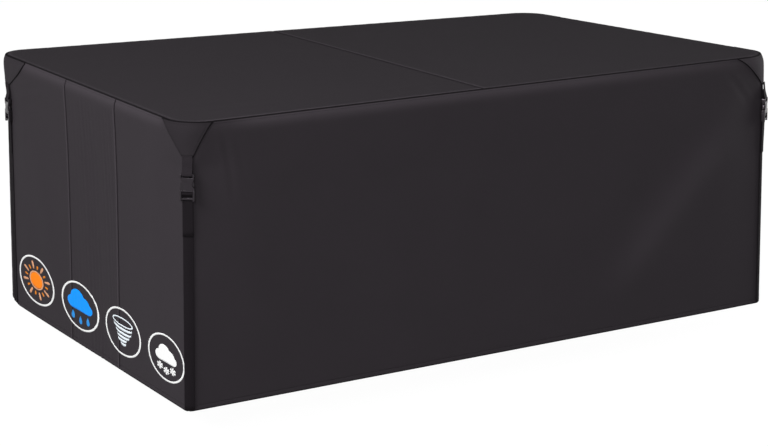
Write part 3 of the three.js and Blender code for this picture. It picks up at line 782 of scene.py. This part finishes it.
def corner_patch(corner):
    row = CORNERS[corner]
    steps = [0, 0.6, 1.5, 3, 5, 8]
    across = np.array(stations(-row["before"], row["after"], steps, steps, 4))
    foot = patch_foot(corner, across)
    share = np.concatenate([np.linspace(0, 1, 26)[:-1], [0.975, 0.99, 1]])
    share = np.unique(np.concatenate([[0, 0.012, 0.03], share]))[::-1]
    depth = 1 + (foot[None, :] - 1) * share[:, None]
    wide = np.repeat(across[None, :], len(share), axis=0)
    middle, away = patch_lift(corner, wide, depth)
    half = half_thickness(away, 0.1, 0.55)
    outer, _ = corner_at(corner, wide, depth, middle + half)
    inner, _ = corner_at(corner, wide, depth, middle - half)
    cut = np.stack([wide, -depth], axis=-1)
    obj = sheet_of("patch_" + corner + "_cloth", outer, inner, cut, away, shaded_patch_cloth)
    # An even painted light over the whole patch.
    paint_highlight(obj, np.full(len(obj.data.vertices), PATCH_PAINTED_LIGHT[corner]))
    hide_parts("patch_" + corner)


for corner in CORNERS:
    corner_patch(corner)

# ---- Webbing ----
# Each corner has two lengths of 25 mm polyester webbing. A short loop is sewn to the patch's point and holds
# the socket. The strap is sewn in at the hem, runs up the corner, turns round the plug's bar and hangs back
# down as a loose tail.
LOOP = [
    (97, 1.8), (106, 2.3), (118, 2.9), (122.5, 2.7), (125.6, 3.4), (126.6, 5.95), (125.6, 8.5), (122.5, 9.2),
    (118, 8.6), (108, 5.9), (98, 4.8), (78, 4.4),
]
STRAP = [
    (697, 1.35), (640, 1.35), (530, 1.35), (420, 1.35), (320, 1.35), (272, 1.35), (230, 1.35), (208, 1.4),
    (192, 1.8), (180, 2.2), (167, 2.2), (163.9, 3.5), (163.3, 5.95), (164.3, 8.4), (167, 9.6), (170.2, 8.6),
    (171.9, 6.5), (175, 4.4), (180, 4.05), (192, 3.6), (208, 3.3), (230, 3.25), (271, 3.25),
]


RIB, ZIGZAG = 0.0016, 0.0031


def webbing_material(name, dark, light):
    """Herringbone webbing: ribs that slant one way and then the other."""
    material, tree, shader = new_material(name)
    place = node(tree, "ShaderNodeUVMap", uv_map="Cut").outputs["UV"]
    split = node(tree, "ShaderNodeSeparateXYZ", {0: place})
    zigzag = math_node(tree, "PINGPONG", split.outputs["X"], ZIGZAG)
    slanted = math_node(tree, "ADD", split.outputs["Y"], zigzag)
    ribs = math_node(tree, "SINE", math_node(tree, "MULTIPLY", slanted, 2 * math.pi / RIB))
    fuzz = noise(tree, place, 900.0, 2.0)
    looks = {
        "Base Color": mix(tree, fuzz, dark, light),
        "Normal": bump(tree, math_node(tree, "ADD", ribs, fuzz), 0.5, 0.00025),
        "Roughness": 0.7,
        "Specular IOR Level": 0.03,
        "Specular Tint": POLYESTER_TINT,
    }
    plug(tree, shader, looks)
    return material


black_webbing = webbing_material("Black webbing", (0.0042, 0.0035, 0.0042), (0.0066, 0.0056, 0.0066))
grey_webbing = webbing_material("Grey webbing", (0.0085, 0.0072, 0.0085), (0.0120, 0.0103, 0.0120))


def between(a, b, from_t, to_t, t):
    return (to_t - t) / (to_t - from_t) * a + (t - from_t) / (to_t - from_t) * b


def rounded_path(path):
    """The path with smooth bends: points on a curve through its own."""
    p = np.array(path, float)
    p = np.concatenate([2 * p[:1] - p[1:2], p, 2 * p[-1:] - p[-2:-1]])
    made = []
    for k in range(1, len(p) - 2):
        span = math.dist(p[k], p[k + 1])
        count = 6 if span < 20 else int(span / 12)
        knots = [0.0]
        for a, b in zip(p[k - 1 : k + 2], p[k : k + 3]):
            knots.append(knots[-1] + max(math.dist(a, b), 1e-6) ** 0.5)
        t0, t1, t2, t3 = knots
        for t in np.linspace(t1, t2, count, endpoint=False):
            a1 = between(p[k - 1], p[k], t0, t1, t)
            a2 = between(p[k], p[k + 1], t1, t2, t)
            a3 = between(p[k + 1], p[k + 2], t2, t3, t)
            b1, b2 = between(a1, a2, t0, t2, t), between(a2, a3, t1, t3, t)
            made.append(between(b1, b2, t1, t2, t))
    return np.array([*made, p[-2]])


def webbing_at(corner, wide, depth, lift):
    """Places on a length of webbing, which lies flat over the corner and wraps round it lower down."""
    shift = CORNERS[corner]["shift"]
    middle, facing = corner_at(corner, np.full(depth.shape, float(shift)), depth, lift)
    sideways = np.cross([0, 0, 1], facing)
    sideways /= np.linalg.norm(sideways, axis=-1, keepdims=True)
    flat = middle + sideways * wide[..., None]
    round_it, _ = corner_at(corner, shift + wide, depth, lift)
    wrap = 0.5 * smooth(depth, 200, 270)[..., None]
    return flat + (round_it - flat) * wrap, facing


def lengths_along(line):
    """The distance from a line's start to each of its points."""
    return np.concatenate([[0], np.cumsum(np.linalg.norm(np.diff(line, axis=0), axis=1))])


def webbing(name, corner, path, material):
    line = rounded_path(path)
    step = np.gradient(line, axis=0)
    step /= np.linalg.norm(step, axis=1, keepdims=True)
    way = np.stack([step[:, 1], -step[:, 0]], axis=1)
    away = np.array([0, 0.25, 0.8, 1.8, 4, 8])
    across = np.concatenate([away - HALF_WEBBING, [0], (HALF_WEBBING - away)[::-1]])
    edge = HALF_WEBBING - np.abs(across)
    half = half_thickness(edge, reach=0.8)
    wide = np.repeat(across[None, :], len(line), axis=0)
    faces = []
    for face in (1, -1):
        at = line[:, None, :] + face * way[:, None, :] * half[None, :, None]
        faces.append(webbing_at(corner, wide, at[..., 0], at[..., 1])[0])
    run_length = lengths_along(line)
    cut = np.stack(np.meshgrid(across, run_length), axis=-1)
    obj = sheet_of(name + "_webbing", faces[0], faces[1], cut, edge, material)
    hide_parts(name)


for corner in CORNERS:
    webbing("loop_" + corner, corner, LOOP, grey_webbing)
    webbing("strap_" + corner, corner, STRAP, black_webbing)

# ---- Stitches ----
# All the seams are lockstitched in thick bonded polyester thread, four millimetres to a stitch. Each stitch
# is a short length of thread whose ends dip into the cloth. Their pitch, length and half thickness follow.
thread = webbing_material("Bonded thread", (0.0060, 0.0051, 0.0060), (0.0105, 0.0090, 0.0105))
PITCH, LONG, THICK = 4.0, 3.2, 0.26


def stitches(name, rows):
    """One object for many rows. A row is places along a line on the cloth, and the way it faces there."""
    points, quads, caps, cuts = [], [], [], []
    turn = 2 * np.pi * np.arange(5) / 5
    radius = THICK * np.array([0.4, 1, 1, 0.4])[:, None]
    rise = np.array([-0.2, 0.1, 0.1, -0.2])[:, None] + radius * np.sin(turn)
    aside = radius * np.cos(turn)
    for line, facing in rows:
        run_length = lengths_along(line)
        count = int(run_length[-1] / PITCH)
        middles = (np.arange(count)[:, None] + 0.5) * run_length[-1] / count
        at = middles + LONG * np.array([-0.5, -0.36, 0.36, 0.5])
        place = np.stack([np.interp(at, run_length, line[:, k]) for k in range(3)], axis=-1)
        out = np.stack([np.interp(at, run_length, facing[:, k]) for k in range(3)], axis=-1)
        ahead = np.repeat(place[:, -1:] - place[:, :1], 4, axis=1)
        sideways = np.cross(out, ahead)
        sideways /= np.linalg.norm(sideways, axis=-1, keepdims=True)
        rings = place[:, :, None] + out[:, :, None] * rise[..., None]
        rings = rings + sideways[:, :, None] * aside[..., None]
        base = sum(len(p) for p in points) + 20 * np.arange(count)[:, None]
        for ring in range(3):
            for k in range(5):
                corners = [ring * 5 + k, ring * 5 + (k + 1) % 5]
                corners += [corners[1] + 5, corners[0] + 5]
                quads.append(base + corners)
        caps += (base + [4, 3, 2, 1, 0]).tolist() + (base + [15, 16, 17, 18, 19]).tolist()
        points.append(rings.reshape(-1, 3))
        around = np.broadcast_to(1.6 * turn / (2 * np.pi), (count, 4, 5))
        along = np.broadcast_to(at[..., None], (count, 4, 5))
        cuts.append(np.stack([around, along], axis=-1).reshape(-1, 2))
    faces = np.concatenate(quads).tolist() + caps
    cut = np.concatenate(cuts)
    mesh_of(name, np.concatenate(points), faces, cut, np.full(len(cut), NO_FOLD), thread)


def wall_row(name, along, depth):
    """A row on the outer face of a wall panel."""
    side, start, end = PANELS[name]
    low, high = panel_edge(side, start, -1, depth), panel_edge(side, end, 1, depth)
    hang, sewn, sides = panel_lift(side, along, depth, low, high, start and end)
    away = np.minimum(np.minimum(sides, depth - INSET), HEIGHT - depth)
    return wall_at(side, along, depth, hang + sewn + half_thickness(away))


# The row below the top seam is left out where a patch lies over it.
hem_rows, wall_rows = [], []
rows = list(CORNERS.values())
for name, (side, start, end) in PANELS.items():
    for depth, made in ((HEIGHT - HEM_STITCHED, hem_rows), (STITCHED + INSET, wall_rows)):
        low = float(panel_edge(side, start, -1, np.array([depth]))[0])
        high = float(panel_edge(side, end, 1, np.array([depth]))[0])
        if depth < HEM:
            low = low if start else low + rows[(side + 3) % 4]["after"]
            high = high if end else high - rows[side]["before"]
        along = np.arange(low + 1, high - 1, 2.0)
        made.append(wall_row(name, along, np.full(len(along), depth)))
    down = np.arange(10.0 if end else TIP + 10, HEIGHT - 16, 2.0)
    wall_rows.append(wall_row(name, panel_edge(side, end, 1, down) - STITCHED, down))
stitches("stitches_hem", hem_rows)
stitches("stitches_walls", wall_rows)


def top_row(x, y):
    """A row on the top, at the stitches' distance from a seam."""
    away = np.full_like(x, STITCHED)
    height = top_middle(x, y, away) + half_thickness(away)
    return np.stack([x, y, height], axis=-1), np.broadcast_to([0.0, 0.0, 1.0], (len(x), 3))


ring_rows = []
for quarter, (corner, row) in enumerate(CORNERS.items()):
    sx, sy = corner_signs(corner)
    r = row["radius"]
    bend = np.radians(90 * quarter - 90 + np.linspace(0, 90, 46))
    x = sx * (LENGTH / 2 - r) + (r - STITCHED - INSET) * np.cos(bend)
    y = sy * (WIDTH / 2 - r) + (r - STITCHED - INSET) * np.sin(bend)
    ring_rows.append(np.stack([x, y], axis=-1))
edge_line = np.concatenate([*ring_rows, ring_rows[0][:1]])
around = lengths_along(edge_line)
steps = np.arange(0, around[-1], 2.0)
top_rows = [top_row(*(np.interp(steps, around, edge_line[:, k]) for k in (0, 1)))]
y = np.arange(-WIDTH / 2 + 9, WIDTH / 2 - 9, 2.0)
seam_x = MIDDLE_SEAM["x"] + MIDDLE_SEAM["skew"] * y / (WIDTH / 2 - INSET)
top_rows += [top_row(seam_x + end * STITCHED, y) for end in (-1, 1)]
stitches("stitches_top", top_rows)

# Each patch is sewn along its slanting edges and its top. The loop and the foot of the strap are sewn on
# with a box of stitches: its top, its foot and how far it stands out.
BOXES = [(80, 93, 5.35), (676, 692, 2.07)]
patch_rows, box_rows = [], []
for corner, row in CORNERS.items():
    left, right = tip_sides(row)
    for start, end, slope in (
        (-row["before"] + 14, left - 1, (TIP - SHALLOW) / (left + row["before"])),
        (right + 1, row["after"] - 14, (TIP - SHALLOW) / (row["after"] - right)),
        (-row["before"] + 14, row["after"] - 14, None),
    ):
        wide = np.arange(start, end, 1.5)
        depth = np.full_like(wide, STITCHED + INSET)
        if slope:
            depth = np.maximum(patch_foot(corner, wide) - 6 * math.sqrt(1 + slope**2), STITCHED + INSET)
            wide, depth = wide[depth > STITCHED + 3], depth[depth > STITCHED + 3]
        middle, _ = patch_lift(corner, wide, depth)
        patch_rows.append(corner_at(corner, wide, depth, middle + 0.65))
    for top, foot, lift in BOXES:
        box = [(-9, top), (9, top), (9, foot), (-9, foot)]
        for a, b in zip(box, box[1:] + box[:1]):
            wide, depth = np.linspace(a[0], b[0], 12), np.linspace(a[1], b[1], 12)
            box_rows.append(webbing_at(corner, wide, depth, np.full(12, lift)))
stitches("stitches_patches", patch_rows)
stitches("stitches_boxes", box_rows)

# ---- Buckles ----
# Side-release buckles moulded in black acetal: a socket with open sides, and a plug with two sprung prongs
# and a middle pin. Their edges are softly rounded, as they come from the mould.
acetal, tree, shader = new_material("Black acetal")
place = node(tree, "ShaderNodeTexCoord").outputs["Object"]
scuffs = noise(tree, place, 90.0, 4.0)
looks = {
    "Base Color": mix(tree, scuffs, (0.0028, 0.0025, 0.0028), (0.0055, 0.0049, 0.0055)),
    "Roughness": spread(tree, scuffs, {"To Min": 0.22, "To Max": 0.4}),
    "Normal": bump(tree, noise(tree, place, 1500.0, 2.0), 0.15, 0.0001),
    "Specular IOR Level": 0.29,
    "Specular Tint": (1.0, 0.87, 1.0, 1),
}
plug(tree, shader, looks)

for corner in CORNERS:
    for piece in ("socket_", "plug_"):
        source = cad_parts[piece + corner]
        mesh = source.data.copy()
        mesh.name = piece + corner
        obj = bpy.data.objects.new(piece + corner + "_moulded", mesh)
        bpy.context.scene.collection.objects.link(obj)
        bm = bmesh.new()
        bm.from_mesh(mesh)
        bmesh.ops.remove_doubles(bm, verts=bm.verts, dist=1e-5)
        bmesh.ops.dissolve_limit(bm, angle_limit=0.02, verts=bm.verts, edges=bm.edges)
        bm.to_mesh(mesh)
        bm.free()
        mesh.materials.clear()
        mesh.materials.append(acetal)
        bevel = obj.modifiers.new("Rounded edges", "BEVEL")
        bevel.width, bevel.segments, bevel.limit_method, bevel.angle_limit = 0.0005, 3, "ANGLE", 0.5
        mesh.polygons.foreach_set("use_smooth", [True] * len(mesh.polygons))
        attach(obj, "root")
        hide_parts(piece + corner)

# ---- Stage ----
# A white floor some way below the hem, in a room that is bright behind the cover and dim in front of it. A
# large window light stands on the left, with a soft light in front and a weak one beyond the right end.
bpy.ops.mesh.primitive_plane_add(size=60, location=(0, 0, -0.79))
floor = bpy.context.object
floor.name = "floor"
pale, tree, shader = new_material("White floor")
looks = {
    "Base Color": (0.05, 0.05, 0.05, 1),
    "Roughness": 1.0,
    "Specular IOR Level": 0.0,
    "Emission Color": (1, 1, 1, 1),
    "Emission Strength": 0.98,
}
plug(tree, shader, looks)
floor.data.materials.append(pale)

BRIGHT_WAY, BRIGHT, DIM = (0.53, 0.85, 0.0), 0.4, 0.25
world = bpy.data.worlds.new("Room")
bpy.context.scene.world = world
world.use_nodes = True
tree = world.node_tree
way = {0: node(tree, "ShaderNodeTexCoord").outputs["Generated"], 1: BRIGHT_WAY}
facing = node(tree, "ShaderNodeVectorMath", way, operation="DOT_PRODUCT").outputs["Value"]
room = {"From Min": -0.1, "From Max": 0.7, "To Min": DIM, "To Max": BRIGHT}
sky = {"Color": (1, 1, 1, 1), "Strength": spread(tree, facing, room)}
plug(tree, tree.nodes["Background"], sky)


def soft_light(name, place, size, power):
    """A round soft light that faces the cover's middle."""
    lamp = bpy.data.lights.new(name, "AREA")
    lamp.shape, lamp.size, lamp.energy = "DISK", size, power
    light = bpy.data.objects.new(name, lamp)
    bpy.context.scene.collection.objects.link(light)
    light.location = place
    light.rotation_euler = (-light.location).to_track_quat("-Z", "Y").to_euler()


soft_light("window light", (-5.5, -2.0, 3.7), 2.6, 770)
soft_light("front light", (-3.7, -4.6, 2.4), 2.0, 205)
soft_light("far light", (5.8, -1.2, 0.6), 2.4, 230)
bpy.data.lights["far light"].specular_factor = 0.2

# ---- Camera ----
camera = bpy.data.objects.new("camera", bpy.data.cameras.new("camera"))
bpy.context.scene.collection.objects.link(camera)
yaw, pitch, roll = (math.radians(a) for a in (31.837, 13.767, 0.111))
ahead = Vector((math.sin(yaw) * math.cos(pitch), math.cos(yaw) * math.cos(pitch), -math.sin(pitch)))
level = Vector((math.cos(yaw), -math.sin(yaw), 0))
above = level.cross(ahead)
right = level * math.cos(roll) + above * math.sin(roll)
up = above * math.cos(roll) - level * math.sin(roll)
turned = Matrix((right, up, -ahead)).transposed().to_4x4()
camera.matrix_world = Matrix.Translation((-2.8433, -4.5694, 0.848)) @ turned
camera.data.sensor_width = 36
camera.data.lens = 92.9
bpy.context.scene.camera = camera
bpy.context.scene.view_settings.view_transform = "Standard"
